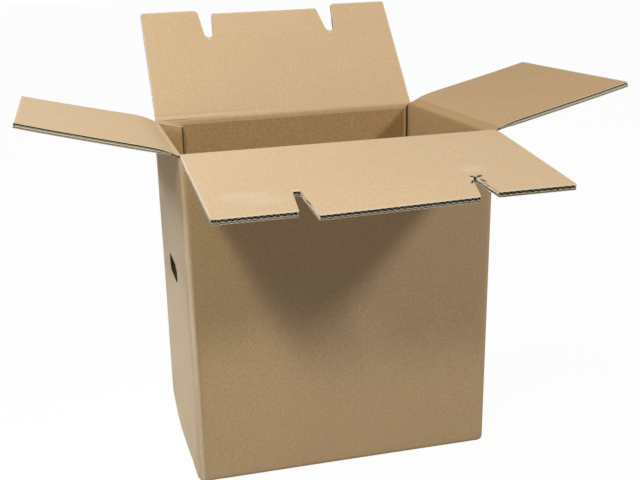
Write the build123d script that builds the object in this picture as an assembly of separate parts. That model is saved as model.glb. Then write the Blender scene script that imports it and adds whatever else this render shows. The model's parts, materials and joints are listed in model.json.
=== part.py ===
from build123d import *
from math import ceil, cos, floor, radians, sin, tan
import os

# An open carton folded from one sheet of double-wall corrugated board.
# Millimetres, +Z up. The origin is the middle of the footprint, at floor level.
# The front panel faces -Y, and +X is the viewer's right when looking at it.
# The four walls, the glued tab and the closed bottom are one folded piece.
# Each top flap turns about its own crease and is a piece of its own.

# The box, measured over its outer faces.
box_width = 450.0
box_depth = 318.0
crease_height = 486.0
board = 7.0

# Clearances.
flap_gap = 0.3
crease_gap = 0.2

# Folds.
corner_fold_radius = 9.0
bottom_fold_radius = 7.0
inner_fold_radius = 2.0

# Top flaps: the slot at each corner is cut mostly out of the side flaps.
flap_length = 215.0
long_flap_inset = 3.5
corner_slot = 9.0
slot_clearance = 0.5
flap_corner_radius = 3.0

# How far each flap stands above level, opened outwards, in degrees.
front_rest_angle = -9.1
back_rest_angle = 50.0
left_rest_angle = 16.1
right_rest_angle = 15.4

# Two locking notches in the outer edge of each long flap, with a tongue between.
notch_spacing = 218.0
notch_mouth = 27.0
notch_floor = 13.0
notch_depth = 57.0
notch_radius = 5.5
cut_overrun = 1.0
tongue_length = 54.0
front_tongue_angle = 6.0
back_tongue_angle = 10.0

# The board's section, open to view along the outer edge of each flap: two rows of
# flutes between three liners. The row next to the flap's inner face is the taller one.
liner = 0.4
small_flute_height = 2.4
small_flute_pitch = 6.4
tall_flute_pitch = 7.9
fluted_paper = 0.7
flute_mouth_depth = 6.0
flute_margin = 0.8

# The hand hole in each side panel.
hand_hole_length = 85.0
hand_hole_height = 28.0
hand_hole_centre = 284.0

# The glued tab of the manufacturer's joint, inside the back left corner.
tab_width = 40.0
tab_slope = 7.0
tab_clearance = 2.0

# The bottom: the long flaps meet just in front of the middle, under the short ones.
bottom_seam = 1.5
seam_offset = 3.0
bottom_flap_gap = 2.0

# The torn notch of the front flap. Each point is a share of half the mouth,
# counted outwards from the notch's middle, and a share of the notch's depth.
torn_notch = [
    (-1.07, -0.05),
    (-0.56, 0.28),
    (-0.11, 0.67),
    (0.26, 0.84),
    (0.12, 0.97),
    (0.52, 0.91),
    (1.06, 0.95),
    (0.60, 0.81),
    (0.52, 0.70),
    (0.50, 0.52),
    (0.85, 0.32),
    (0.92, 0.12),
    (1.02, -0.05),
]

tall_flute_height = board - 3 * liner - small_flute_height
side_crease_height = crease_height - board - flap_gap
bottom_flap_length = (box_depth - bottom_seam) / 2


# Section of a wall with its bottom fold: across is outwards, up is +Z.
# The top is mitred at 45 degrees towards the crease at the outer face.
def wall_section(reach, fold_height, crease, floor_end):
    inner = reach - board
    section = Polygon(
        (floor_end, fold_height),
        (reach, fold_height),
        (reach, crease - crease_gap),
        (inner, crease - board - crease_gap),
        (inner, fold_height + board),
        (floor_end, fold_height + board),
        align=None,
    )
    outer_corner = section.vertices().sort_by_distance((reach, fold_height, 0))[0]
    section = fillet(outer_corner, bottom_fold_radius)
    inner_corner = section.vertices().sort_by_distance((inner, fold_height + board, 0))[0]
    return fillet(inner_corner, inner_fold_radius)


def wall(reach, fold_height, crease, floor_end, length):
    section = wall_section(reach, fold_height, crease, floor_end)
    return extrude(Plane.YZ * section, amount=length / 2, both=True)


# The stub of board in each vertical fold, below the slots between the flaps.
def corner_post():
    height = side_crease_height - crease_gap - board - bottom_fold_radius
    outer = (Align.MAX, Align.MAX, Align.MIN)
    post = Box(corner_slot, corner_slot, height, align=outer)
    hollow = Cylinder(inner_fold_radius, height, align=(Align.CENTER, Align.CENTER, Align.MIN))
    post -= Pos(-corner_slot, -corner_slot, 0) * hollow
    return Pos(box_width / 2, box_depth / 2, board + bottom_fold_radius) * post


def glue_tab():
    left = board - box_width / 2
    right = left + tab_width
    foot = 2 * board + flap_gap
    top = crease_height - board - crease_gap - flap_gap
    outline = Polygon(
        (left, foot),
        (right, foot + tab_slope),
        (right, top - tab_slope),
        (left, top),
        align=None,
    )
    against_wall = Plane.XZ.offset(board - box_depth / 2)
    return extrude(against_wall * outline, amount=board)


def carton_body():
    long_reach = box_depth / 2
    side_reach = box_width / 2
    long_length = box_width - 2 * long_flap_inset
    seam = bottom_seam / 2
    front_wall = wall(long_reach, 0, crease_height, seam_offset + seam, long_length)
    back_wall = wall(long_reach, 0, crease_height, seam - seam_offset, long_length)
    side_wall = wall(
        side_reach,
        board,
        side_crease_height,
        side_reach - board - 2 * inner_fold_radius,
        box_depth,
    )
    inner_flap = Pos(side_reach - board, 0, board) * Box(
        bottom_flap_length - board,
        box_depth - 2 * (board + bottom_flap_gap),
        board,
        align=(Align.MAX, Align.CENTER, Align.MIN),
    )
    body = back_wall + Rot(0, 0, 180) * front_wall
    for turn in (90, -90):
        body += Rot(0, 0, turn) * side_wall
    post = corner_post()
    for turn in (0, 180):
        body += Rot(0, 0, turn) * inner_flap
        body += Rot(0, 0, turn) * post
        body += Rot(0, 0, turn) * mirror(post, about=Plane.YZ)
    folds = RectangleRounded(box_width, box_depth, corner_fold_radius)
    body &= extrude(folds, amount=crease_height)
    body += glue_tab()
    hand_hole = Pos(0, hand_hole_centre) * SlotOverall(hand_hole_length, hand_hole_height)
    body -= extrude(Plane.YZ * hand_hole, amount=box_width, both=True)
    return body


# Section of a flap: across runs from the crease to the edge, up is towards the
# face that is inside when the box is shut. A bend turns the tongue away from it.
def flap_section(bend):
    turn = radians(bend)
    fold = flap_length - tongue_length
    tip = fold + tongue_length * cos(turn)
    drop = tongue_length * sin(turn)
    return Polygon(
        (crease_gap, 0),
        (fold - board * tan(turn / 2), 0),
        (tip - board * sin(turn), board - drop - board * cos(turn)),
        (tip, board - drop),
        (fold, board),
        (crease_gap + board, board),
        align=None,
    )


def flat_section():
    return Polygon(
        (crease_gap, 0),
        (flap_length, 0),
        (flap_length, board),
        (crease_gap + board, board),
        align=None,
    )


def carry(section, low, high):
    return Pos(low, 0, 0) * extrude(Plane.YZ * section, amount=high - low)


# The hollows of one row of flutes between low and high along the edge. They stand on
# the lower liner and hang from the upper one by turns, and the web that is left between
# them is the fluted paper. The wave runs on unbroken past the notches.
def flute_hollows(low, high, pitch, base, height):
    half_base = (pitch - fluted_paper) / 2
    rise = height * 2 * half_base / pitch
    first = ceil(2 * (low + half_base) / pitch)
    last = floor(2 * (high - half_base) / pitch)
    hollows = []
    for half_wave in range(first, last + 1):
        middle = half_wave * pitch / 2
        hangs = half_wave % 2
        foot = base + height * hangs
        tip = foot + rise * (1 - 2 * hangs)
        corners = [(middle - half_base, foot), (middle + half_base, foot), (middle, tip)]
        hollows.append(Polygon(*corners, align=None))
    return hollows


# The open mouths of both rows, as blind pockets cut in from the flap's outer edge.
def flute_mouths(low, high):
    tall_row_base = 2 * liner + small_flute_height
    hollows = flute_hollows(low, high, small_flute_pitch, liner, small_flute_height)
    hollows += flute_hollows(low, high, tall_flute_pitch, tall_row_base, tall_flute_height)
    past_edge = Plane.XZ.offset(-flap_length - cut_overrun)
    reach = flute_mouth_depth + cut_overrun
    return extrude(past_edge * Sketch(hollows), amount=reach, dir=(0, -1, 0))


# A notch, with its mouth at the flap's edge. The mouth runs just past the edge.
def notch():
    flare = (notch_mouth - notch_floor) / notch_depth
    outline = Polygon(
        (-notch_floor / 2, -notch_depth),
        (notch_floor / 2, -notch_depth),
        ((notch_mouth + flare * cut_overrun) / 2, cut_overrun),
        (-(notch_mouth + flare * cut_overrun) / 2, cut_overrun),
        align=None,
    )
    floor_corners = outline.vertices().sort_by(Axis.Y)[:2]
    return fillet(floor_corners, notch_radius)


def torn(side):
    points = []
    for across, depth in torn_notch:
        points.append((side * across * notch_mouth / 2, -depth * notch_depth))
    return Polygon(*points, align=None)


def round_edge_corners(outline):
    edge_corners = outline.vertices().group_by(Axis.Y)[-1]
    return fillet(edge_corners, flap_corner_radius)


def side_flap(low, high):
    outline = Pos((low + high) / 2, flap_length / 2) * Rectangle(high - low, flap_length)
    outline = round_edge_corners(outline)
    through = extrude(outline, amount=2 * board, both=True)
    body = carry(flat_section(), low, high) & through
    return body - flute_mouths(low + flap_corner_radius, high - flap_corner_radius)


# A long flap: two flat shoulders and the bent tongue between the notches.
# In this frame the front flap's -X end lies at the viewer's right.
def long_flap(bend, torn_side=0):
    half = box_width / 2 - long_flap_inset
    notch_at = notch_spacing / 2
    outline = Pos(0, flap_length / 2) * Rectangle(2 * half, flap_length)
    for side in (-1, 1):
        shape = torn(side) if side == torn_side else notch()
        outline -= Pos(side * notch_at, flap_length) * shape
    outline = round_edge_corners(outline)
    through = extrude(outline, amount=4 * board, both=True)
    body = carry(flap_section(bend), -notch_at, notch_at)
    body += carry(flat_section(), -half, -notch_at)
    body += carry(flat_section(), notch_at, half)
    body &= through
    shoulder_start = notch_at + notch_mouth / 2 + flute_margin
    shoulder_end = half - flap_corner_radius
    body -= flute_mouths(shoulder_start, shoulder_end)
    body -= flute_mouths(-shoulder_end, -shoulder_start)
    tongue_end = notch_at - notch_mouth / 2 - flute_margin
    bend_line = Pos(0, flap_length - tongue_length, board)
    bent = bend_line * Rot(-bend, 0, 0) * bend_line.inverse()
    return body - bent * flute_mouths(-tongue_end, tongue_end)


# Puts a flap on its crease: turn faces it outwards, rest lifts it from level.
def on_crease(flap, x, y, z, turn, rest):
    return Pos(x, y, z) * Rot(0, 0, turn) * Rot(rest, 0, 0) * flap


side_end = box_depth / 2 - corner_slot - slot_clearance
tab_end = box_depth / 2 - 2 * board - tab_clearance

parts = {
    "carton": carton_body(),
    "front_flap": on_crease(
        long_flap(front_tongue_angle, torn_side=-1),
        0,
        -box_depth / 2,
        crease_height,
        180,
        front_rest_angle,
    ),
    "back_flap": on_crease(
        long_flap(back_tongue_angle),
        0,
        box_depth / 2,
        crease_height,
        0,
        back_rest_angle,
    ),
    "left_flap": on_crease(
        side_flap(-side_end, tab_end),
        -box_width / 2,
        0,
        side_crease_height,
        90,
        left_rest_angle,
    ),
    "right_flap": on_crease(
        side_flap(-side_end, side_end),
        box_width / 2,
        0,
        side_crease_height,
        -90,
        right_rest_angle,
    ),
}

os.makedirs("parts", exist_ok=True)
for name, solid in parts.items():
    export_step(solid, f"parts/{name}.step")
    print(name, round(solid.volume), "mm3")
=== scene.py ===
import json
import math
import bpy
import numpy as np
from mathutils import Matrix, Vector


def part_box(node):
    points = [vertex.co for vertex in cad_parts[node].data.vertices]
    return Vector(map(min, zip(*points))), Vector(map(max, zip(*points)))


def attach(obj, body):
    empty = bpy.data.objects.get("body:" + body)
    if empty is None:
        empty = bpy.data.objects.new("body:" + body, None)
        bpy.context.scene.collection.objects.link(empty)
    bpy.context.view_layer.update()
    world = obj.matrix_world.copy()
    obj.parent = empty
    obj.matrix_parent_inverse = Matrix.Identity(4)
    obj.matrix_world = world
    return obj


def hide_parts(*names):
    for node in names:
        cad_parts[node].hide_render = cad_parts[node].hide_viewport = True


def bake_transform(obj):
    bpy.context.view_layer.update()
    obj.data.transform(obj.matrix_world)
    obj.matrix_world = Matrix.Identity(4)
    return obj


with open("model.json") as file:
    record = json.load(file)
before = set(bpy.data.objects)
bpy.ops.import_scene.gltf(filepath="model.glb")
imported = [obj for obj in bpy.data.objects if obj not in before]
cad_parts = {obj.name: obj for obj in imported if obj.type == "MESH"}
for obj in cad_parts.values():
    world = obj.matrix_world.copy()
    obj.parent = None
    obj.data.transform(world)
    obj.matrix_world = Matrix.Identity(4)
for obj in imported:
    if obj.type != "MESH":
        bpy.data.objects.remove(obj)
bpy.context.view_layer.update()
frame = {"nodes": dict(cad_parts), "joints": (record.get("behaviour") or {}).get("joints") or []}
print("frame loaded:", sorted(frame["nodes"]))

mm = 0.001
hinges = {joint["child"]: Vector(joint["pos_m"]) for joint in frame["joints"]}
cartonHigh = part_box("carton")[1]
wallX, wallY = cartonHigh[0], cartonHigh[1]  # half the width and half the depth

# Double-wall board: two rows of flutes between three liners, in metres
board = {
    "thickness": 7 * mm,
    "liner": 0.55 * mm,
    "medium": 0.45 * mm,
    "middleLiner": 2.85 * mm,  # height of the middle liner above the outer face
    "flutePitchC": 7.9 * mm,  # the tall row, next to the inner face
    "flutePitchB": 6.4 * mm,
}


def smooth(t):
    # rises from 0 to 1 with level ends
    t = np.clip(t, 0.0, 1.0)
    return t * t * (3 - 2 * t)


def waves(u, v, size, seed):
    # a slow random ripple: a sum of six sines whose lengths are near the given size
    pick = np.random.default_rng(seed)
    total = np.zeros(np.broadcast(u, v).shape)
    for _ in range(6):
        turn, phase = pick.uniform(0, 2 * math.pi, 2)
        length = size * pick.uniform(0.7, 1.6)
        total += np.sin((u * math.cos(turn) + v * math.sin(turn)) * 2 * math.pi / length + phase)
    return total / 6


# Mesh tools

def quadsOf(index):
    # the quads of a grid of point numbers, counter-clockwise when columns run right and rows up
    return np.stack([index[:-1, :-1], index[:-1, 1:], index[1:, 1:], index[1:, :-1]], axis=2)


def gridQuads(rows, columns):
    return quadsOf(np.arange(rows * columns).reshape(rows, columns)).reshape(-1, 4)


def closeSlab(top, bottom, quads):
    # two facing surfaces with the same quads, joined by a rim along every open edge
    count = len(top)
    start, end = quads.ravel(), np.roll(quads, -1, axis=1).ravel()
    isOpen = ~np.isin(start * count + end, end * count + start)
    start, end = start[isOpen], end[isOpen]
    rim = np.stack([end, start, start + count, end + count], axis=1)
    faces = np.concatenate([quads, quads[:, ::-1] + count, rim])
    kinds = np.repeat([0, 1, 2], [len(quads), len(quads), len(rim)])
    return np.concatenate([top, bottom]), faces, kinds


def boardSlab(top, bottom, quads, slots, sheet):
    # a slab of board as makePiece takes it: top lies at depth 1 and bottom at 0, and slots names
    # the materials of the top, the bottom and the rim
    points, faces, kinds = closeSlab(top, bottom, quads)
    return {
        "points": points,
        "faces": faces,
        "slots": np.array(slots)[kinds],
        "sheet": np.concatenate([sheet, sheet]),
        "depth": np.repeat([1.0, 0.0], len(sheet)),
    }


def addObject(name, data):
    thing = bpy.data.objects.new(name, data)
    bpy.context.scene.collection.objects.link(thing)
    return thing


def makePiece(name, slabs, materials, sharpAngle=35):
    # each slab is a dictionary: points, faces, slots (a material index per face),
    # sheet (u and v in metres along the board) and depth (0 at the outer face, 1 at the inner)
    points, slots, sheet, depth = (np.concatenate([slab[key] for slab in slabs])
                                   for key in ("points", "slots", "sheet", "depth"))
    counts = [len(slab["points"]) for slab in slabs]
    bases = np.cumsum([0] + counts)
    faces = np.concatenate([slab["faces"] + base for slab, base in zip(slabs, bases)])
    wear = np.concatenate([slab.get("wear", np.zeros(count)) for slab, count in zip(slabs, counts)])
    mesh = bpy.data.meshes.new(name)
    mesh.from_pydata(points.tolist(), [], faces.tolist())
    for material in materials:
        mesh.materials.append(material)
    mesh.polygons.foreach_set("material_index", slots.astype(np.int32))
    mesh.polygons.foreach_set("use_smooth", np.ones(len(faces), bool))
    loops = np.empty(len(mesh.loops), np.int32)
    mesh.loops.foreach_get("vertex_index", loops)
    uv = mesh.uv_layers.new(name="sheet")
    uv.data.foreach_set("uv", sheet[loops].astype(np.float32).ravel())
    for layerName, values in (("boardDepth", depth), ("edgeWear", wear)):
        layer = mesh.attributes.new(layerName, "FLOAT", "POINT")
        layer.data.foreach_set("value", values.astype(np.float32))
    mesh.update()
    mesh.set_sharp_from_angle(angle=math.radians(sharpAngle))
    return addObject(name, mesh)


# Materials

def toLinear(hexColour):
    # sRGB hex to the linear colour that a node takes
    parts = [int(hexColour[i:i + 2], 16) / 255 for i in (1, 3, 5)]
    return tuple(c / 12.92 if c <= 0.04045 else ((c + 0.055) / 1.055) ** 2.4 for c in parts) + (1.0,)


def addNode(tree, kind, links=None, **settings):
    # adds a node; links maps an input to a value or to another node's output
    node = tree.nodes.new("ShaderNode" + kind)
    for key, value in settings.items():
        setattr(node, key, value)
    for key, value in (links or {}).items():
        if isinstance(value, bpy.types.NodeSocket):
            tree.links.new(value, node.inputs[key])
        else:
            node.inputs[key].default_value = value
    return node


def startMaterial(name, roughness, specular=0.25):
    material = bpy.data.materials.new(name)
    material.use_nodes = True
    tree = material.node_tree
    shader = tree.nodes["Principled BSDF"]
    shader.inputs["Roughness"].default_value = roughness
    shader.inputs["Specular IOR Level"].default_value = specular
    return material, tree, shader


def mixColour(tree, factor, a, b, blend="MIX"):
    node = addNode(tree, "Mix", {0: factor, 6: a, 7: b}, data_type="RGBA", blend_type=blend)
    return node.outputs[2]


def combine(tree, operation, a, b=None):
    inputs = {0: a} if b is None else {0: a, 1: b}
    return addNode(tree, "Math", inputs, operation=operation).outputs[0]


def times(tree, a, b):
    return combine(tree, "MULTIPLY", a, b)


def noise(tree, vector, size, detail, roughness):
    inputs = {"Vector": vector, "Scale": 1 / size, "Detail": detail, "Roughness": roughness}
    return addNode(tree, "TexNoise", inputs).outputs[0]


def mapRange(tree, value, fromMin, fromMax, toMin=0.0, toMax=1.0):
    inputs = {"Value": value, "From Min": fromMin, "From Max": fromMax, "To Min": toMin, "To Max": toMax}
    return addNode(tree, "MapRange", inputs).outputs[0]


def addBump(tree, shader, height):
    bump = addNode(tree, "Bump", {"Height": height, "Strength": 1.0, "Distance": 1.0})
    tree.links.new(bump.outputs[0], shader.inputs["Normal"])


# Kraft liner is machine-made paper of unbleached pulp: matt, warm brown, with fine fibres
# along the machine direction, cloudy patches, and the flutes showing through as faint ribs
kraft = {
    "roughness": 0.86,
    "cloud": 90 * mm,
    "fibreWidth": 0.55 * mm,
    "fibreLength": 4.5 * mm,
    "speck": 1.6 * mm,
    "mottle": 2.4 * mm,
    "ribPitch": board["flutePitchC"],
    "ribHeight": 0.03 * mm,
    "fibreHeight": 0.09 * mm,
    "speckHeight": 0.10 * mm,
    # the range of each texture that shows, and how much of the second colour it gives
    "cloudTone": (0.3, 0.7, 0.75),
    "fibreTone": (0.42, 0.72, 0.0, 0.55),
    "speckTone": (0.60, 0.75, 0.0, 0.35),
}


def kraftLiner(name, shades, ribs=1.0, grainy=0.11, marks=(), edge=None):
    # shades are the base, dark and light colours; ribs scales the height of the ribs, a sine of
    # the place along the crease, and grainy is how far the mottle darkens and lightens
    material, tree, shader = startMaterial(name, kraft["roughness"])
    base, dark, light = (toLinear(shade) for shade in shades)
    where = addNode(tree, "UVMap", uv_map="sheet").outputs[0]
    place = addNode(tree, "TexCoord").outputs["Object"]
    fibreScale = (1 / kraft["fibreWidth"], 1 / kraft["fibreLength"], 1.0)
    stretched = addNode(tree, "Mapping", {"Vector": where, "Scale": fibreScale}).outputs[0]
    cloud = noise(tree, place, kraft["cloud"], 4.0, 0.55)
    fibre = noise(tree, stretched, 1.0, 3.0, 0.6)
    speck = noise(tree, place, kraft["speck"], 2.0, 0.5)
    mottle = noise(tree, place, kraft["mottle"], 3.0, 0.65)
    colour = mixColour(tree, mapRange(tree, cloud, *kraft["cloudTone"]), dark, base)
    colour = mixColour(tree, mapRange(tree, fibre, *kraft["fibreTone"]), colour, light)
    colour = mixColour(tree, mapRange(tree, speck, *kraft["speckTone"]), colour, dark)
    shade = mapRange(tree, mottle, 0.3, 0.7, 1 - grainy, 1 + grainy)
    colour = mixColour(tree, 1.0, colour, shade, "MULTIPLY")
    for mark in marks:
        # rubbed patches, cracks, painted shade and painted highlights: each an oval in u and v, turned, its
        # outline broken by the fibres
        offset = addNode(tree, "VectorMath", {0: where, 1: mark["at"] + (0.0,)},
                         operation="SUBTRACT").outputs[0]
        scaled = addNode(tree, "Mapping",
                         {"Vector": offset, "Rotation": (0.0, 0.0, math.radians(mark["turn"])),
                          "Scale": mark["size"] + (1.0,)}, vector_type="TEXTURE").outputs[0]
        length = addNode(tree, "VectorMath", {0: scaled}, operation="LENGTH").outputs["Value"]
        broken = combine(tree, "ADD", length, times(tree, fibre, mark["broken"]))
        shift = mark["broken"] / 2
        inside = mapRange(tree, broken, 1.0 + shift, 0.55 + shift, 0.0, mark["strength"])
        colour = mixColour(tree, inside, colour, toLinear(mark["colour"]))
    if edge:
        # along a cut the liner's own pulp shows pale for less than a millimetre
        worn = addNode(tree, "Attribute", attribute_name="edgeWear").outputs["Fac"]
        worn = times(tree, worn, combine(tree, "ADD", fibre, 0.45))
        colour = mixColour(tree, worn, colour, toLinear(edge))
    tree.links.new(colour, shader.inputs["Base Color"])
    across = addNode(tree, "SeparateXYZ", {0: where}).outputs[0]
    phase = times(tree, across, 2 * math.pi / kraft["ribPitch"])
    rib = times(tree, combine(tree, "SINE", phase), kraft["ribHeight"] * ribs)
    grain = times(tree, fibre, kraft["fibreHeight"])
    grain = combine(tree, "ADD", grain, times(tree, speck, kraft["speckHeight"]))
    addBump(tree, shader, combine(tree, "ADD", rib, grain))
    return material


def flutingPaper(name, base, dark):
    # fluting medium is semi-chemical pulp: greyer and rougher than the liner. The paper's pale
    # pulp, where it is cut or torn, is as rough
    material, tree, shader = startMaterial(name, 0.92, 0.15)
    place = addNode(tree, "TexCoord").outputs["Object"]
    grit = noise(tree, place, 1.2 * mm, 3.0, 0.6)
    mottle = mapRange(tree, grit, 0.35, 0.65)
    tree.links.new(mixColour(tree, mottle, toLinear(dark), toLinear(base)), shader.inputs["Base Color"])
    addBump(tree, shader, times(tree, grit, 0.08 * mm))
    return material


# shares of the board's thickness
cutPattern = {"swing": 0.86, "fluteBand": (0.11, 0.06), "linerBand": (0.075, 0.05)}


def cutBoard(name, liner, flute, hollow):
    # a knife-cut edge of the board: three pale liner lines with the two rows of flutes, drawn from the depth
    # through the board and the distance along it. The flutes' lines and the hollows between them are nearly
    # black, painted shade
    material, tree, shader = startMaterial(name, 0.95, 0.1)
    where = addNode(tree, "UVMap", uv_map="sheet").outputs[0]
    along = addNode(tree, "SeparateXYZ", {0: where}).outputs[0]
    depth = addNode(tree, "Attribute", attribute_name="boardDepth").outputs["Fac"]
    middle = board["middleLiner"] / board["thickness"]
    colour = toLinear(hollow)
    rows = ((board["flutePitchB"], middle / 2, middle / 2),
            (board["flutePitchC"], (1 + middle) / 2, (1 - middle) / 2))
    for pitch, centre, reach in rows:
        # the medium is a band of constant thickness about a sine between its two liners
        wave = combine(tree, "SINE", times(tree, along, 2 * math.pi / pitch))
        line = combine(tree, "ADD", times(tree, wave, reach * cutPattern["swing"]), centre)
        apart = combine(tree, "ABSOLUTE", combine(tree, "SUBTRACT", depth, line))
        colour = mixColour(tree, mapRange(tree, apart, *cutPattern["fluteBand"]), colour, toLinear(flute))
    for level in (0.0, middle, 1.0):
        apart = combine(tree, "ABSOLUTE", combine(tree, "SUBTRACT", depth, level))
        colour = mixColour(tree, mapRange(tree, apart, *cutPattern["linerBand"]), colour, toLinear(liner))
    tree.links.new(colour, shader.inputs["Base Color"])
    return material


# base, dark and light of each kraft liner: the same paper, toned for how the light falls on its own side of the
# box. So the front copy is lighter, painted light, and the right and walls copies are darker, painted shade
liners = {
    "inside": ("#d3b490", "#c7a783", "#e3cbab"),
    "front": ("#d8b997", "#ccac8a", "#e8d1b3"),
    "right": ("#c5a47f", "#b99774", "#d3b490"),
    "walls": ("#bb996f", "#ad8b62", "#caa983"),
    "outside": ("#cbab84", "#bf9e77", "#dac09d"),
}
colours = {
    "kraftLight": "#e3cbab",
    "medium": "#33271d",
    "mediumDark": "#231a12",
    "hollow": "#2a1f16",
    "crackAndShadeDark": "#130c08",
    "tornPulp": "#f3ebdd",
    "cutPaper": "#fbf1df",
    "cutPaperDark": "#ead9be",
}


def oval(at, size, turn, strength, colour, broken):
    # a mark: its place, along and away from the crease, and its half sizes are in millimetres
    at, size = (tuple(value * mm for value in pair) for pair in (at, size))
    return {"at": at, "size": size, "turn": turn, "strength": strength, "colour": colour, "broken": broken}


def crackAndShadeLine(start, end, width, strength=0.85):
    # a short dark line between two places, used for cracks and for painted shade in grooves and gaps
    (a, b), (c, d) = start, end
    half, turn = math.hypot(c - a, d - b) / 2, math.degrees(math.atan2(d - b, c - a))
    return oval(((a + c) / 2, (b + d) / 2), (half, width / 2), turn, strength, colours["crackAndShadeDark"], 0.15)


# a pale oval, used for rubbed wear and for painted highlights on a fold and a bead
def rubAndHighlight(at, size, strength):
    return oval(at, size, 0.0, strength, colours["tornPulp"], 2.4)


# the board has cracked round the torn notch, and its face is rubbed in three places
frontMarks = [
    crackAndShadeLine((-107.8, 159.9), (-116.0, 164.4), 6.4, 1.0),
    crackAndShadeLine((-112.6, 166.8), (-126.0, 159.9), 6.0, 1.0),
    crackAndShadeLine((-101.0, 180.8), (-113.0, 168.0), 4.2, 1.0),
    crackAndShadeLine((-117.8, 169.0), (-120.4, 184.0), 3.6, 1.0),
    rubAndHighlight((172, 158), (40, 15), 0.16),
    rubAndHighlight((148, 178), (30, 11), 0.14),
    rubAndHighlight((-123, 138), (18, 14), 0.16),
]
# the fold between the front and left panels has a pale stripe, a painted highlight where the fold turns towards
# the light, and the front panel has a dark speck
foldHighlight = rubAndHighlight((1507.3, 230), (4.5, 420), 0.75)
foldHighlight |= {"turn": 0.52, "colour": colours["kraftLight"], "broken": 1.2}
panelSpeckAndFoldHighlight = [crackAndShadeLine((202.9, 96.1), (204.3, 96.5), 1.8, 0.7), foldHighlight]
# at the right back corner's fold: a dark line, painted shade in its groove, beside a pale line, a painted
# highlight on its bead
cornerShadeAndHighlight = [
    crackAndShadeLine((755.6, -900), (755.6, 1700), 4.6, 0.85),
    rubAndHighlight((759.6, 400), (1.8, 1300), 0.6) | {"broken": 0.2},
]
# painted shade: dark lines along the score groove of the back crease, fainter to the right
scoreGrooveShade = [crackAndShadeLine((-222, 12.5), (-150, 12), 1.8, 0.8), crackAndShadeLine((-175, 12), (-90, 12), 1.5, 0.5)]
# painted shade: a dark line along the tab's free edge, where it stands off the back wall
tabGapShade = [crackAndShadeLine((-179.4, -300), (-179.4, 1200), 3.4)]
paleCut = colours["cutPaper"]
# the front flap's inner face: the lighter front tone is painted light
frontLinerPaintedLight = kraftLiner("kraftLinerFrontPaintedLight", liners["front"], marks=frontMarks, edge=paleCut)
# the outside panels: the pale stripe along the front-left fold is a painted highlight
frontPanelLiner = kraftLiner("kraftLinerPanels", liners["outside"], 1.5, 0.14, panelSpeckAndFoldHighlight, paleCut)
# the back crease's inner skin: the dark lines along its score are painted shade
backCreaseLiner = kraftLiner("kraftLinerBackCrease", liners["inside"], marks=scoreGrooveShade)
# the walls' inside: the darker walls tone is painted shade, and at the right back corner a dark line is painted
# shade and a pale line a painted highlight
wallLinerPaintedShade = kraftLiner("kraftLinerWallsPaintedShade", liners["walls"], 4.0, 0.22, cornerShadeAndHighlight, paleCut)
# the glue tab: the darker walls tone and the dark line along its free edge are painted shade
tabLinerPaintedShade = kraftLiner("kraftLinerTabPaintedShade", liners["walls"], 3.0, 0.22, tabGapShade, colours["kraftLight"])
innerLiner = kraftLiner("kraftLinerInside", liners["inside"], edge=paleCut)
# the right flap's inner face: the darker right tone is painted shade
rightLinerPaintedShade = kraftLiner("kraftLinerRightPaintedShade", liners["right"], grainy=0.15, edge=paleCut)
# the right crease's inner skin: the darker walls tone is painted shade
foldLinerPaintedShade = kraftLiner("kraftLinerFoldPaintedShade", liners["walls"], ribs=0.5, grainy=0.15)
outerLiner = kraftLiner("kraftLinerOutside", liners["outside"], 1.5, 0.14, edge=paleCut)
# the cut and torn edges show the liner's own pulp, paler than its face
cutPaper = flutingPaper("cutPaperPulp", paleCut, colours["cutPaperDark"])
tornPulp = flutingPaper("tornLinerPulp", colours["tornPulp"], colours["kraftLight"])
# the wavy layers are in shade between the liners, so they look nearly black
fluting = flutingPaper("flutingMedium", colours["medium"], colours["mediumDark"])
cutEdge = cutBoard("knifeCutBoardShadedHollows", colours["kraftLight"], colours["medium"], colours["hollow"])
print("materials made")


# Flaps

creaseReach = 12 * mm  # each flap's flat board starts this far from its crease
up = np.array([0.0, 0.0, 1.0])
flapForm = {
    "squashReach": 24 * mm,  # the squash at the crease fades over this length
    "squashLevel": 2.5 * mm,  # and leaves this height where it is
    "riseReach": 6 * mm,
    "risePower": 1.3,
    "warpSize": 260 * mm,
    "warpStart": 60 * mm,
    "taperFrom": 0.6,  # share of the half width where the taper starts
    "wearReach": 0.8 * mm,
    "rimRows": (1.2 * mm, 0.5 * mm),  # the last two rows before the edge
    "endReach": 8,  # millimetres with columns 1 mm apart, at each end
    "notchReach": 18,  # millimetres with finer columns, to each side of a notch
    "notchSteps": 61,
    "pressedReach": 3,
    "pressedWidth": 1.6 * mm,
    "pressedFade": 14 * mm,
    # column step and rows of each layer
    "faceGrid": (5 * mm, (22, 12)),
    "middleGrid": (6 * mm, (12, 8)),
    "fluteGrid": (9, (7, 6)),  # steps a wave, and rows
}


def flapAxes(flap):
    # along the crease, out from the wall, away from the crease, and square to the flap
    rest, turned = math.radians(flap["rest"]), math.radians(flap["turn"])
    along = np.array([math.cos(turned), math.sin(turned), 0.0])
    out = np.array([-math.sin(turned), math.cos(turned), 0.0])
    away = math.cos(rest) * out + math.sin(rest) * up
    normal = math.cos(rest) * up - math.sin(rest) * out
    return along, out, away, normal


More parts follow.
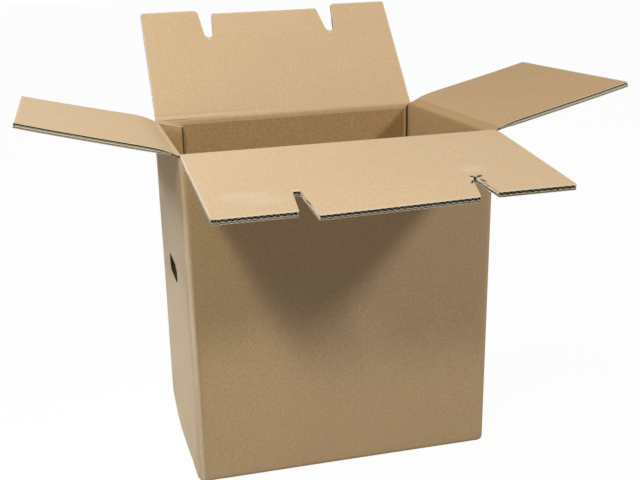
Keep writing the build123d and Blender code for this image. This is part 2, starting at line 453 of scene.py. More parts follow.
def alongFlap(flap, u, v, n):
    # flap coordinates to the row frame: u along the crease, v away from it, n from the outer
    # face to the inner one. Heights are squashed by a bell curve of v, rise as one less an
    # exponential of v that dies away, fading to the edge, twist as v, and warp in slow ripples
    form = flapForm
    u, v, n = np.broadcast_arrays(u, v, n)
    squash = 1 - flap["crush"] * np.exp(-(v / form["squashReach"]) ** 2)
    n = form["squashLevel"] + (n - form["squashLevel"]) * squash
    share = (u - flap["low"]) / (flap["high"] - flap["low"])
    fade = np.clip(1 - v / flap["length"], 0, 1) ** form["risePower"]
    curve = (1 - np.exp(-v / form["riseReach"])) * fade
    n = n + curve * (flap["rise"][0] * (1 - share) + flap["rise"][1] * share)
    n = n + v / flap["length"] * (flap["twist"][0] * (1 - share) + flap["twist"][1] * share)
    n = n + flap["warp"] * waves(u, v, form["warpSize"], flap["seed"]) * smooth(v / form["warpStart"])
    tongue = flap.get("tongue")
    if tongue:
        # the bend is an arc: down by half its length times the turn times its share squared.
        # Past it the tongue runs on straight
        reach = tongue["foldWidth"]
        turn = np.radians(tongue["angle"] + tongue["twist"] * u / tongue["halfWidth"])
        past = v - (tongue["fold"] - reach / 2)
        isTongue = np.abs(u) < tongue["halfWidth"]
        share = np.where(isTongue, np.clip(past / reach, 0, 1), 0.0)
        beyond = np.where(isTongue, np.maximum(past - reach, 0), 0.0)
        angle = turn * share
        rise = n - board["thickness"]
        v = v - beyond * (1 - np.cos(turn)) + rise * np.sin(angle)
        drop = reach * turn * share * share / 2 + beyond * np.sin(turn)
        n = board["thickness"] - drop + rise * np.cos(angle)
    narrowing = smooth((u / flap["high"] - form["taperFrom"]) / (1 - form["taperFrom"]))
    u = u - flap.get("taper", 0) * narrowing * v / flap["length"]
    along, _, away, normal = flapAxes(flap)
    hinge = np.array(hinges[flap["body"]])
    points = hinge + u[..., None] * along + v[..., None] * away + n[..., None] * normal
    return points.reshape(-1, 3)


def edgeLine(flap, u):
    # how far from the crease the flap's edge lies at each u: its length, less the rounded
    # corners and the notches, whose sides slope and whose floors are rounded
    edge = np.full(u.shape, flap["length"])
    for end, radius in ((flap["low"], flap["cornerLow"]), (flap["high"], flap["cornerHigh"])):
        near = np.clip(radius - np.abs(u - end), 0, radius)
        edge = edge - (radius - np.sqrt(radius ** 2 - near ** 2))
    for notch in flap.get("notches", ()):
        outwards = (u - notch["at"]) * notch["side"]
        if "outline" in notch:
            cut = np.interp(outwards, notch["outline"][:, 0], notch["outline"][:, 1], left=0, right=0)
            edge = np.minimum(edge, flap["length"] - cut)
            continue
        apart = np.abs(outwards)
        mouth, floor, depth, radius = notch["mouth"] / 2, notch["floor"] / 2, notch["depth"], notch["radius"]
        slope = depth * (mouth - apart) / (mouth - floor)
        inCorner = np.clip(apart - (floor - radius), 0, radius)
        rounded = depth - (radius - np.sqrt(radius ** 2 - inCorner ** 2))
        cut = np.where(apart < floor, rounded, np.minimum(slope, depth - radius))
        lip = np.where(outwards > 0, notch["lipOut"], notch["lipIn"])
        nearLip = np.clip(mouth + lip - apart, 0, lip)
        softened = lip - np.sqrt(np.maximum(lip ** 2 - nearLip ** 2, 0))
        cut = np.where(apart < mouth, np.maximum(cut, lip), softened)
        edge = np.minimum(edge, flap["length"] - cut)
    return edge


def flapColumns(flap, step):
    # places along the crease: an even step, finer at the notches, the ends and the pressed lines
    form = flapForm
    places = [np.arange(flap["low"], flap["high"], step), [flap["high"]]]
    ends = np.linspace(-form["endReach"], form["endReach"], 2 * form["endReach"] + 1) * mm
    for end in (flap["low"], flap["high"]):
        places.append(np.clip(end + ends, flap["low"], flap["high"]))
    around = np.linspace(-form["notchReach"], form["notchReach"], form["notchSteps"]) * mm
    for notch in flap.get("notches", ()):
        places.append(notch["at"] + around)
    pressed = np.linspace(-form["pressedReach"], form["pressedReach"], 2 * form["pressedReach"] + 1) * mm
    for line in flap.get("pressed", ()):
        places.append(line["u"] + pressed)
    return np.unique(np.round(np.concatenate(places), 5))


def flapSheet(flap, start, lower, upper, step, rows, slots):
    # one layer of a flap: both faces over the same grid, rows first up to the notch floors,
    # then on to the edge. lower and upper are heights above the outer face. The wear falls
    # off from a cut as a bell curve of the distance
    u = flapColumns(flap, step)
    edge = edgeLine(flap, u)
    split = flap.get("split", 0.75 * flap["length"])
    inner = start + (split - start) * np.linspace(0, 1, rows[0])[:, None] + 0 * u
    first, last = flapForm["rimRows"]
    outer = split + (edge - first - split) * np.linspace(0, 1, rows[1])[1:, None]
    v = np.concatenate([inner, outer, edge[None] - last, edge[None]])
    u = np.broadcast_to(u, v.shape)
    apart = np.minimum(np.minimum(u - flap["low"], flap["high"] - u), edge[None] - v)
    wear = np.exp(-(apart / flapForm["wearReach"]) ** 2).ravel()
    top = alongFlap(flap, u, v, upper(u, v))
    bottom = alongFlap(flap, u, v, lower(u, v))
    sheet = np.stack([u.ravel(), v.ravel()], axis=1)
    slab = boardSlab(top, bottom, gridQuads(*v.shape), slots, sheet)
    return slab | {"wear": np.concatenate([wear, wear])}


def level(height):
    return lambda u, v: np.full(np.shape(u), height)


def pressedFace(flap, height):
    # the inner face, sunk along each pressed line by a bell curve across it, soft at its ends
    width, fade = flapForm["pressedWidth"], flapForm["pressedFade"]

    def heights(u, v):
        sunk = np.full(np.shape(u), height)
        for line in flap.get("pressed", ()):
            ends = smooth((v - line["from"]) / fade) * smooth((line["to"] - v) / fade)
            sunk = sunk - line["depth"] * np.exp(-((u - line["u"]) / width) ** 2) * ends
        return sunk
    return heights


def fluteLine(flap, low, high, pitch, offset, phase):
    # a medium's height: a sine that runs from the liner below it to the one above,
    # counted from the flap's front end
    middle, reach = (low + high) / 2, (high - low - board["medium"]) / 2
    return lambda u, v: middle + reach * np.sin(2 * math.pi * (u - flap["fluteStart"]) / pitch + phase) + offset


# in millimetres: how far inside the edge a cut strip lies, how much deeper it is hollowed, and
# how thick it is. Then its columns at a flap's end, and the drop between columns that is steep
ribbon = {"inset": 0.3, "hollow": 0.45, "paper": 0.3, "columns": 60, "steep": 0.5 * mm}


def cutLines(flap):
    # where the knife ran with the flutes: both ends and the steep sides of the notches. Each line
    # is places u and v, going round the flap with the board on its left, and its two heights
    lines = []
    reach, steps = flapForm["notchReach"], flapForm["notchSteps"]
    v = np.linspace(creaseReach + 0.5 * mm, flap["length"] - flap["cornerHigh"], ribbon["columns"])
    for end, places in ((flap["high"], v), (flap["low"], v[::-1])):
        lines.append((np.full(v.shape, end), places) + flap["endCut"])
    for notch in flap.get("notches", ()):
        if notch.get("torn"):
            continue
        u = notch["at"] + np.linspace(reach, -reach, steps) * mm
        edge = edgeLine(flap, u)
        steep = np.abs(np.gradient(edge)) > ribbon["steep"]
        for run in np.split(np.arange(steps), np.nonzero(np.diff(steep))[0] + 1):
            if steep[run[0]] and len(run) > 3:
                lines.append((u[run], edge[run], board["liner"], board["thickness"] - board["liner"]))
    return lines


def cutRibbon(flap, u, v, low, high):
    # such a cut shows a flute's wall: a pale strip just inside the edge, hollowed between the
    # liners by half a sine of the height
    thickness, liner, middle = board["thickness"], board["liner"], board["middleLiner"]
    n = np.concatenate([np.linspace(low, middle - liner, 6), np.linspace(middle, high, 7)])[:, None]
    share = np.where(n < middle, (n - low) / (middle - liner - low), (n - middle) / (high - middle))
    inset = (ribbon["inset"] + ribbon["hollow"] * np.sin(math.pi * np.clip(share, 0, 1))) * mm
    across, away = np.gradient(u), np.gradient(v)
    step = np.hypot(across, away)
    inwardU, inwardV = -away / step, across / step
    outer, inner = (alongFlap(flap, u + inwardU * depth, v + inwardV * depth, n)
                    for depth in (inset, inset + ribbon["paper"] * mm))
    shape = (len(n), len(u))
    sheet = np.stack([np.broadcast_to(line, shape).ravel() for line in (u, v)], axis=1)
    slab = boardSlab(outer, inner, gridQuads(*shape), (3, 3, 3), sheet)
    return slab | {"depth": np.tile(np.broadcast_to(n / thickness, shape).ravel(), 2)}


# the torn strip in millimetres: its width and how ragged that is, how far it sags, how much more
# at its free side, how uneven that is, and its thickness
tornForm = {"width": 1.5, "ragged": 0.9, "sag": 1.2, "droop": 0.8, "uneven": 0.5, "paper": 0.5}


def tornStrip(flap, line):
    # a strip of torn liner that hangs in the notch beside its edge, a little below the inner
    # face. It is ragged by slow ripples, and narrows at both ends
    form, steps = tornForm, 90
    t = np.linspace(0, 1, steps)
    knots = np.linspace(0, 1, len(line))
    place, v = (np.interp(t, knots, line[:, axis]) for axis in (0, 1))
    narrowing = smooth(t / 0.1) * (1 - 0.4 * smooth((t - 0.8) / 0.2))
    width = (form["width"] + form["ragged"] * waves(v, 0 * v, 14 * mm, 41)) * mm * narrowing
    share = np.array([0, 0.5, 1])[:, None]
    ripple = waves(v, 9 * mm * share, 10 * mm, 42)
    sag = (form["sag"] + form["droop"] * share + form["uneven"] * ripple) * mm
    upper, lower = (alongFlap(flap, -(place - width * share), v + 0 * share, board["thickness"] - sag - depth)
                    for depth in (0.0, form["paper"] * mm))
    slab = boardSlab(upper, lower, gridQuads(3, steps)[:, ::-1], (4, 4, 4), upper[:, :2])
    return slab | {"sheet": slab["points"][:, :2], "depth": np.ones(len(slab["points"]))}


def makeFlap(flap):
    # slots: 0 inner liner, 1 outer liner, 2 fluting, 3 cut paper, 4 torn pulp
    thickness, liner, middle = board["thickness"], board["liner"], board["middleLiner"]
    half, root, form = board["medium"] / 2, creaseReach, flapForm
    waveSteps, waveRows = form["fluteGrid"]
    face = pressedFace(flap, thickness)
    slabs = [
        flapSheet(flap, root, level(thickness - liner), face, *form["faceGrid"], (0, 2, 3)),
        flapSheet(flap, root, level(middle - liner), level(middle), *form["middleGrid"], (2, 2, 3)),
        flapSheet(flap, root, level(0.0), level(liner), *form["faceGrid"], (2, 1, 3)),
    ]
    rows = ((middle, thickness - liner, board["flutePitchC"], flap["phase"][0]),
            (liner, middle - liner, board["flutePitchB"], flap["phase"][1]))
    for low, high, pitch, phase in rows:
        lower, upper = (fluteLine(flap, low, high, pitch, offset, phase) for offset in (-half, half))
        slabs.append(flapSheet(flap, root, lower, upper, pitch / waveSteps, waveRows, (2, 2, 3)))
    slabs.extend(cutRibbon(flap, *line) for line in cutLines(flap))
    if "torn" in flap:
        slabs.append(tornStrip(flap, flap["torn"]))
    piece = makePiece(flap["name"], slabs, [flap["inside"], outerLiner, fluting, cutPaper, tornPulp])
    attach(piece, flap["body"])
    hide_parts(flap["body"])
    print("made", flap["name"], len(piece.data.polygons), "faces")


# The torn notch: distance outwards from the notch's middle, and depth from the edge
tornOutline = np.array([
    (-11.0, 0), (-9.8, 2.5), (-7.4, 12), (-4.6, 27), (-1.0, 42), (3.0, 50), (6.0, 54.5),
    (7.6, 50), (8.4, 42), (8.8, 34), (9.2, 21), (11.0, 14), (11.5, 6), (12.6, 0),
]) * mm
# The front flap's other notch was cut with sharp corners, and a little narrower
sharpOutline = np.array([
    (-14.2, 0), (-13.2, 1.4), (-6.6, 54.5), (-5.6, 56.6), (-4.6, 57),
    (2.6, 57), (3.6, 56.4), (4.2, 54), (10.6, 2.0), (11.6, 0),
]) * mm
notchShape = {
    "mouth": 27 * mm,
    "floor": 13 * mm,
    "depth": 57 * mm,
    "radius": 5.5 * mm,
    "lipIn": 2 * mm,
    "lipOut": 2 * mm,
}
notchAt = 109 * mm
tongueFold = {"fold": 161 * mm, "foldWidth": 9 * mm, "halfWidth": notchAt}
longHalf = wallX - 3.5 * mm
anyFlap = {
    "length": 215 * mm,
    "cornerLow": 3 * mm,
    "cornerHigh": 3 * mm,
    "score": lambda u: 0.2 * mm + 0 * u,
}
longFlap = anyFlap | {
    "low": -longHalf,
    "high": longHalf,
    "rootLow": -longHalf,
    "rootHigh": longHalf,
    "endCut": (board["liner"], board["thickness"] - board["liner"]),
    "split": 157 * mm,
    "warp": 0.5 * mm,
    "crush": 0.3,
    "rise": (0.0, 0.0),
    "twist": (0.0, 0.0),
    "phase": (0.0, 0.0),
    "bend": (0.0, creaseReach),
}
frontFlap = longFlap | {
    "name": "front_flap_board",
    "body": "front_flap",
    "length": 214.6 * mm,
    "turn": 180,
    "rest": -9.1,
    "seed": 3,
    "fluteStart": longHalf,
    "tongue": tongueFold | {"angle": 6, "twist": 2.3},
    "notches": [
        {"at": notchAt, "side": 1, "outline": sharpOutline},
        {"at": -notchAt, "side": -1, "outline": tornOutline, "torn": True},
    ],
    # places across and away of the torn strip, from its root to its end
    "torn": np.array([
        (116.2, 163), (117.2, 172), (117.8, 182), (118.2, 192), (119.6, 200), (120.4, 207), (121.2, 213.5),
    ]) * mm,
    "high": wallX - 0.5 * mm,
    "cornerHigh": 5 * mm,
    "taper": 5 * mm,
    "bulge": ((1.05, 17), (0.62, 5)),
    "rise": (0.0, 1.5 * mm),
    "inside": frontLinerPaintedLight,
}
backFlap = longFlap | {
    "name": "back_flap_board",
    "body": "back_flap",
    "length": 214.7 * mm,
    "turn": 0,
    "rest": 50.0,
    "seed": 5,
    "fluteStart": -longHalf,
    "tongue": tongueFold | {"angle": 10, "twist": 0},
    "notches": [
        notchShape | {"at": -notchAt, "side": -1, "lipOut": 6.5 * mm},
        notchShape | {"at": notchAt, "side": 1},
    ],
    "pressed": [
        {"u": -83 * mm, "from": 46 * mm, "to": 150 * mm, "depth": 0.22 * mm},
        {"u": 56 * mm, "from": 100 * mm, "to": 183 * mm, "depth": 0.18 * mm},
    ],
    "bulge": ((0.5, 16), (0.62, 5)),
    # the score's groove shows along part of the back crease and fades to the right
    "score": lambda u: 0.9 * mm * (1 - 0.85 * smooth((u + 150 * mm) / (170 * mm))),
    "creaseInside": backCreaseLiner,
    "inside": innerLiner,
}
sideEnd = wallY - 9.5 * mm
sideFlap = anyFlap | {
    "low": -sideEnd - 2 * mm,
    "rootLow": -sideEnd,
    "bulge": ((1.0, 19), (0.95, 9)),
    "endCut": (2.0 * mm, 4.6 * mm),
    "warp": 0.4 * mm,
    "crush": 0.7,
    "bend": (-3 * mm, 9 * mm),
    "phase": (-math.pi / 2, math.pi / 2),
}
leftFlap = sideFlap | {
    "name": "left_flap_board",
    "body": "left_flap",
    "turn": 90,
    "rest": 16.1,
    "high": wallY - 16 * mm,
    "rootHigh": wallY - 16 * mm,
    "rise": (8.5 * mm, 10.5 * mm),
    "relief": (3.9 * mm, 7.6 * mm, 1.2 * mm),
    "twist": (3 * mm, 0.0),
    "fluteStart": -sideEnd,
    "seed": 11,
    "inside": innerLiner,
}
rightFlap = sideFlap | {
    "name": "right_flap_board",
    "body": "right_flap",
    "turn": -90,
    "rest": 15.4,
    "high": sideEnd + 2 * mm,
    "rootHigh": sideEnd,
    "rise": (9.5 * mm, 6.5 * mm),
    "twist": (2.5 * mm, 0.0),
    "fluteStart": sideEnd,
    "seed": 12,
    # painted shade: the crease's inner skin is in the darker walls tone
    "creaseInside": foldLinerPaintedShade,
    "inside": rightLinerPaintedShade,
}
flaps = [frontFlap, backFlap, leftFlap, rightFlap]
for flap in flaps:
    makeFlap(flap)


# Creases

def bezier(a, b, c, d, t):
    t = t[:, None, None]
    return (1 - t) ** 3 * a + 3 * t * (1 - t) ** 2 * b + 3 * t * t * (1 - t) * c + t ** 3 * d


creaseForm = {
    "columns": 110,
    "rows": 28,
    "gap": 0.2 * mm,  # between a wall's top and its crease
    "lead": 1 * mm,  # over this length the flap's face gives the curve's end direction
    "sheetLength": 25 * mm,
    "scoreAt": 0.84,  # share of the way from the wall to the flap
    "scoreWidth": 0.07,
    "reliefFoot": 7 * mm,
    "reliefRise": 6 * mm,
}


def makeCrease(flap):
    # the board rolls over from the wall to the flap: each skin is a cubic curve that leaves the
    # wall straight up, by its first bulge times its rise, and meets the flap's face along its
    # slope, by its second bulge in millimetres. The skins are swept along the crease
    form, thickness = creaseForm, board["thickness"]
    u = np.linspace(flap["low"], flap["high"], form["columns"])
    root = np.linspace(flap["rootLow"], flap["rootHigh"], form["columns"])
    along, out, away, normal = flapAxes(flap)
    hinge = np.array(hinges[flap["body"]])
    origin = hinge + root[:, None] * along
    t = np.linspace(0, 1, form["rows"])
    skins = []
    sides = ((thickness, -thickness, -thickness - form["gap"]), (0.0, 0.0, -form["gap"]))
    for (height, wallIn, wallUp), (upwards, back) in zip(sides, flap["bulge"]):
        start = origin + wallIn * out + wallUp * up
        meet = alongFlap(flap, u, np.full(u.shape, creaseReach), height)
        beyond = alongFlap(flap, u, np.full(u.shape, creaseReach + form["lead"]), height)
        lift = (meet - start)[:, 2:] * upwards * up
        skins.append(bezier(start, start + lift, meet - (beyond - meet) * back, meet, t))
    score = flap["score"](u) * np.exp(-((t[:, None] - form["scoreAt"]) / form["scoreWidth"]) ** 2)
    skins[0] = skins[0] - score[..., None] * normal
    if "relief" in flap:
        # the inner skin is pressed outwards where the end of a closed long flap passes it
        height = skins[0][..., 2] - hinge[2]
        depth, top, fade = flap["relief"]
        hollow = depth * smooth((height + form["reliefFoot"]) / form["reliefRise"])
        hollow = hollow * (1 - smooth((height - top) / fade))
        skins[0] = skins[0] + hollow[..., None] * out
    top, bottom = (skin.reshape(-1, 3) for skin in skins)
    places = np.broadcast_arrays(u, form["sheetLength"] * t[:, None])
    sheet = np.stack(places, axis=2).reshape(-1, 2)
    slab = boardSlab(top, bottom, gridQuads(len(t), len(u)), (0, 1, 2), sheet)
    materials = [flap.get("creaseInside", flap["inside"]), outerLiner, cutEdge]
    piece = makePiece(flap["body"] + "_crease", [slab], materials, 60)
    start, end = flap["bend"]
    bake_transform(piece)


for flap in flaps:
    makeCrease(flap)
print("creases made")


# The carton

cartonShape = {
    "cornerRadius": 12 * mm,
    "innerRadius": 2 * mm,
    "foldRadius": 7 * mm,
    "floorInset": 3.5 * mm,
    "seam": 1.5 * mm,
    "seamOffset": 3 * mm,
    "innerGap": 2 * mm,  # between the inner bottom flaps and the long walls
    "holeLength": 85 * mm,
    "holeHeight": 28 * mm,
    "holeCentre": 284 * mm,
    "bulge": 6 * mm,
    "bulgeHeight": 240 * mm,
    "bulgeReach": 60 * mm,
    "gap": 0.2 * mm,
    "bow": 0.5 * mm,
    "bowSize": 300 * mm,
    "liftReach": 45 * mm,  # over this length a side's bottom fold comes down to its corners
    "columns": (61, 45),  # on the long and on the short panels
    "rows": (34, 26),  # below and above the middle of the hand holes
    "turnSteps": 9,
}


def perimeter():
    # the columns round the box, counter-clockwise from the front panel's left end: outer point,
    # inner point, outward direction, place on the panel, distance run, the panel's kind, and
    # how far its bottom fold is lifted, from 0 on the long panels and corners to 1 on the sides
    shape, thickness = cartonShape, board["thickness"]
    columns = []
    quarter = np.linspace(0, math.pi / 2, shape["turnSteps"])
    radius, innerRadius = shape["cornerRadius"], shape["innerRadius"]
    travelled = 0.0
    for side in range(4):
        turn = side * math.pi / 2
        kind = side % 2  # 0 is a long panel, 1 a side, and 2 a corner
        half, reach = (wallY, wallX) if kind else (wallX, wallY)
        normal = np.array([math.sin(turn), -math.cos(turn)])
        along = np.array([math.cos(turn), math.sin(turn)])
        flat = half - radius
        places = np.linspace(-flat, flat, shape["columns"][kind])
        if kind:
            hole = shape["holeLength"] / 2
            ends = hole - shape["holeHeight"] / 2 * (1 - np.cos(quarter))
            places = np.unique(np.round(np.concatenate([places, ends, -ends]), 6))
        for p in places:
            outer, inner = (along * p + normal * depth for depth in (reach, reach - thickness))
            lift = kind * smooth((flat - abs(p)) / shape["liftReach"])
            columns.append((outer, inner, normal, p, travelled + p + flat, kind, lift))
        travelled += 2 * flat
        centre = along * flat + normal * (reach - radius)
        innerCentre = along * (half - thickness - innerRadius)
        innerCentre = innerCentre + normal * (reach - thickness - innerRadius)
        for a in quarter[1:-1]:
            ray = normal * math.cos(a) + along * math.sin(a)
            outer, inner = centre + ray * radius, innerCentre + ray * innerRadius
            columns.append((outer, inner, ray, 0.0, travelled + a * radius, 2, 0.0))
        travelled += radius * math.pi / 2
    columns.append(columns[0][:4] + (travelled,) + columns[0][5:])
    return columns


def cartonWalls():
    # the walls as one slab: each column runs up from its bottom fold to its crease, split at
    # the middle of the hand holes, where the rows part round the hole
    shape, thickness = cartonShape, board["thickness"]
    columns = perimeter()
    outer, inner, ray, place, run, kind, lift = (np.array(values) for values in zip(*columns))
    longTop, sideTop = hinges["front_flap"][2], hinges["left_flap"][2]
    foldBase = thickness * lift
    foldTop = foldBase + shape["foldRadius"]
    outerTop = np.choose(kind, [longTop, sideTop, longTop]) - shape["gap"]
    innerTop = outerTop - np.choose(kind, [thickness, thickness, 0.0])
    reach = shape["holeHeight"] / 2
    beyond = np.maximum(np.abs(place) - (shape["holeLength"] / 2 - reach), 0)
    opening = np.where(kind == 1, np.sqrt(np.maximum(reach ** 2 - beyond ** 2, 0)), 0.0)
    middle = shape["holeCentre"]
    lower, upper = (np.linspace(0, 1, count)[:, None] for count in shape["rows"])
    sides = []
    for top in (outerTop, innerTop):
        below = foldTop + (middle - opening - foldTop) * lower
        above = middle + opening + (top - middle - opening) * upper
        sides.append(np.concatenate([below, above]))
    # bottom folds of the four panels: a quarter turn, down by the radius times the sine, and
    # inwards by the radius times one less the cosine
    turns = np.linspace(math.pi / 2, 0, shape["turnSteps"])[:-1, None]
    radius = np.full(kind.shape, shape["foldRadius"])
    outerZ = np.concatenate([foldTop - radius * np.sin(turns), sides[0]])
    inwards = np.concatenate([radius * (1 - np.cos(turns)), np.zeros_like(sides[0])])
    innerRadius = np.where(kind == 2, 0.8, 1.0) * shape["innerRadius"]
    innerFold = foldBase + thickness + innerRadius
    innerZ = np.concatenate([innerFold - innerRadius * np.sin(turns), sides[1]])
    pull = np.concatenate([innerRadius * (1 - np.cos(turns)), np.zeros_like(sides[1])])
    belowRows = len(turns) + len(lower)
    innerZ[len(turns):belowRows] = innerFold + (middle - opening - innerFold) * lower
    bow = shape["bow"] * waves(run, outerZ, shape["bowSize"], 21) * (kind != 2)
    outerXY = outer + (bow - inwards)[..., None] * ray
    innerXY = inner + (bow - pull)[..., None] * ray
    top = np.concatenate([outerXY, outerZ[..., None]], axis=2)
    bottom = np.concatenate([innerXY, innerZ[..., None]], axis=2)
    rows, count = outerZ.shape
    top[:, -1], bottom[:, -1] = top[:, 0], bottom[:, 0]
    index = np.arange(rows * count).reshape(rows, count)
    closed = opening < 1e-6
    index[belowRows, closed] = index[belowRows - 1, closed]
    # the row of quads at the hand holes is left out
    quads = np.delete(quadsOf(index), belowRows - 1, axis=0).reshape(-1, 4)
    seamed = quads % count == count - 1  # the last column is the first one again
    sheet = np.stack([np.broadcast_to(run, (rows, count)).ravel(), outerZ.ravel()], axis=1)
    return top.reshape(-1, 3), bottom.reshape(-1, 3), np.where(seamed, quads - (count - 1), quads), sheet


def makeCarton():
    # slots: 0 outside, 1 inside, 2 knife-cut rim, 3 the hand holes' rim, in the nearly black fluting colour as
    # painted shade
    shape, thickness = cartonShape, board["thickness"]
    top, bottom, quads, sheet = cartonWalls()
    walls = boardSlab(top, bottom, quads, (0, 1, 2), sheet)
    walls["depth"] = 1.0 - walls["depth"]  # here the outer face comes first
    height = walls["points"][walls["faces"][:, 0], 2]
    holeRimShaded = (walls["slots"] == 2) & (np.abs(height - shape["holeCentre"]) < shape["holeHeight"])
    walls["slots"] = np.where(holeRimShaded, 3, walls["slots"])
    slabs = [walls]

    def panel(low, high, base):
        # a flat piece of board over a rectangle, from its base height up
        s, t = np.meshgrid(np.linspace(0, 1, 40), np.linspace(0, 1, 20))
        x, y = low[0] + (high[0] - low[0]) * s, low[1] + (high[1] - low[1]) * t
        under = np.stack([x, y, 0 * x + base], axis=2).reshape(-1, 3)
        over = under + np.array([0, 0, thickness])
        slabs.append(boardSlab(over, under, gridQuads(*x.shape), (1, 0, 2), under[:, :2]))

    ends, fold = wallX - shape["floorInset"], shape["foldRadius"]
    seamLow, seamHigh = (side * shape["seam"] / 2 - shape["seamOffset"] for side in (-1, 1))
    for near, far in ((fold - wallY, seamLow), (seamHigh, wallY - fold)):
        panel((-ends, near), (ends, far), 0)
    flapEnd, span = wallY - shape["seam"] / 2, wallY - thickness - shape["innerGap"]
    for left, right in ((fold - wallX, flapEnd - wallX), (wallX - flapEnd, wallX - fold)):
        panel((left, -span), (right, span), thickness)
    # the foot of the left panel bulges outwards by a parabola of y, less further up and in
    for slab in slabs:
        x, y, z = slab["points"].T
        share = 1 - smooth(z / shape["bulgeHeight"])
        share = share * smooth((shape["bulgeReach"] - wallX - x) / shape["bulgeReach"])
        slab["points"][:, 0] = x - shape["bulge"] * np.clip(1 - (y / wallY) ** 2, 0, 1) * share
    piece = makePiece("carton_board", slabs, [frontPanelLiner, wallLinerPaintedShade, cutEdge, fluting])
    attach(piece, "box")
    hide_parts("carton")
    print("made carton", len(piece.data.polygons), "faces")


makeCarton()

tab = {
    "width": 40 * mm,
    "foot": 0.3 * mm,  # above the closed bottom flaps
    "slope": 7 * mm,
    "rise": 6.5 * mm,
    "topSlope": 9.5 * mm,
    "spring": 1.2 * mm,
    "crush": 3.4 * mm,
    "crushFrom": 473 * mm,
    "crushFade": 5 * mm,
}


def makeTab():
    # the glued tab inside the back left corner, lying on the back wall. Its edges at the foot and
    # the top slope with s, the share of its width, its free edge springs off the wall by a smooth
    # step of s, and its top is crushed back, clear of the closed back flap
    thickness = board["thickness"]
    foot = 2 * thickness + tab["foot"]
    top = hinges["back_flap"][2] - thickness + tab["rise"]
    s, t = np.meshgrid(np.linspace(0, 1, 16), np.linspace(0, 1, 60))
    x = thickness - wallX + tab["width"] * s
    z = (foot + tab["slope"] * s) * (1 - t) + (top - tab["topSlope"] * s) * t
    high = smooth((z - tab["crushFrom"]) / tab["crushFade"])
    back = wallY - thickness - tab["spring"] * smooth((s - 0.5) / 0.5) * (1 - high)
    face, rear = (np.stack([x, y, z], axis=2).reshape(-1, 3)
                  for y in (back - thickness + tab["crush"] * high, back))
    sheet = np.stack([x.ravel(), z.ravel()], axis=1)
    slab = boardSlab(face, rear, gridQuads(*x.shape), (0, 0, 1), sheet)
    piece = makePiece("glue_tab", [slab], [tabLinerPaintedShade, cutPaper])
    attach(piece, "box")


makeTab()
print("carton made")


# Stage, light and camera

stage = {"reach": 30.0, "floor": "#898989", "shine": 1.12, "glow": 0.86, "fill": 0.05, "sky": "#f4f7ff"}
corners = [(-1, -1), (1, -1), (1, 1), (-1, 1)]


def cameraShare(tree):
    # 1 for rays that come from the camera or a reflection, else 0
    path = addNode(tree, "LightPath")
    return path, combine(tree, "MAXIMUM", path.outputs["Is Camera Ray"], path.outputs["Is Glossy Ray"])


def makeStage():
    # a matt floor that looks nearly white to the camera and keeps its shadow
    floorMaterial, tree, shader = startMaterial("paleFloor", 0.9, 0.5)
    shader.inputs["Base Color"].default_value = toLinear(stage["floor"])
    glow = addNode(tree, "Emission", {"Color": (1, 1, 1, 1), "Strength": stage["shine"]})
    share = times(tree, cameraShare(tree)[1], stage["glow"])
    mix = addNode(tree, "MixShader", {0: share, 1: shader.outputs[0], 2: glow.outputs[0]})
    tree.links.new(mix.outputs[0], tree.nodes["Material Output"].inputs[0])
    mesh = bpy.data.meshes.new("studio_floor")
    mesh.from_pydata([(x * stage["reach"], y * stage["reach"], 0) for x, y in corners], [], [(0, 1, 2, 3)])
    mesh.materials.append(floorMaterial)
    floor = addObject("studio_floor", mesh)
    world = bpy.context.scene.world or bpy.data.worlds.new("studio")
    bpy.context.scene.world = world
    world.use_nodes = True
    tree = world.node_tree
    tree.nodes.clear()
    fill = addNode(tree, "Background", {"Color": toLinear(stage["sky"]), "Strength": stage["fill"]})
    white = addNode(tree, "Background", {"Color": (1, 1, 1, 1), "Strength": 1.0})
    path, seen = cameraShare(tree)
    seen = combine(tree, "MAXIMUM", seen, path.outputs["Is Transmission Ray"])
    mix = addNode(tree, "MixShader", {0: seen, 1: fill.outputs[0], 2: white.outputs[0]})
    out = addNode(tree, "OutputWorld")
    tree.links.new(mix.outputs[0], out.inputs[0])


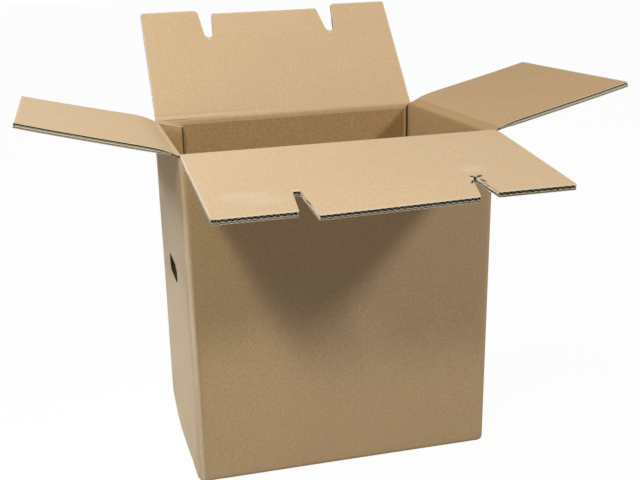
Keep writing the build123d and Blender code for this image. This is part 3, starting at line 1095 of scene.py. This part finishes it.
def addLamp(name, at, size, power, tint, aim=(0, -0.05, 0.42), spread=180):
    lamp = bpy.data.lights.new(name, "AREA")
    lamp.shape, lamp.size, lamp.size_y = "RECTANGLE", size[0], size[1]
    lamp.energy = power
    lamp.spread = math.radians(spread)
    lamp.color = toLinear(tint)[:3]
    holder = addObject(name, lamp)
    holder.location = at
    holder.rotation_euler = (Vector(aim) - Vector(at)).to_track_quat("-Z", "Y").to_euler()


makeStage()
addLamp("left_key", (-1.116, -1.554, 2.124), (0.35, 0.35), 22.0, "#fffcdb")
addLamp("right_key", (2.537, -2.346, 2.637), (0.6, 0.6), 65, "#ffffff")
addLamp("top_left_softbox", (-1.4, 0.2, 2.4), (1.2, 1.2), 30, "#fafdff")
addLamp("low_left_softbox", (-2.4, 0.6, 0.15), (1.0, 1.0), 15, "#daeaff")
# a lamp behind a honeycomb grid, aimed low at the left panel, so that the left flap shades its top
addLamp("left_grid", (-2.2, 0.2, 1.6), (0.4, 0.4), 0.56, "#c0dcff", (-0.25, -0.02, 0.2), 18)
addLamp("low_front_card", (-0.6, -2.2, 0.25), (1.2, 0.5), 3.3, "#ffffff")

# The camera was worked out from the box's own corners in the photograph
view = {
    "at": (-0.35912, -1.28489, 0.71566),
    "azimuth": 11.197,
    "elevation": -16.957,
    "roll": -2.493,
    "focal": 877.72,  # in pixels of a 640 pixel wide frame
    "centre": 248.83,  # pixel column of the optical axis
    "frame": 640.0,
}


def makeCamera():
    lens = bpy.data.cameras.new("camera")
    lens.sensor_width = 36.0
    lens.lens = view["focal"] / view["frame"] * lens.sensor_width
    lens.shift_x = (view["frame"] / 2 - view["centre"]) / view["frame"]
    lens.clip_start, lens.clip_end = 0.05, 100.0
    camera = addObject("camera", lens)
    heading = Matrix.Rotation(math.radians(-view["azimuth"]), 4, "Z")
    tilt = Matrix.Rotation(math.radians(90 + view["elevation"]), 4, "X")
    roll = Matrix.Rotation(math.radians(view["roll"]), 4, "Z")
    camera.matrix_world = Matrix.Translation(view["at"]) @ heading @ tilt @ roll
    bpy.context.scene.camera = camera


makeCamera()
bpy.context.scene.view_settings.view_transform = "Standard"
print("stage, lamps and camera made")
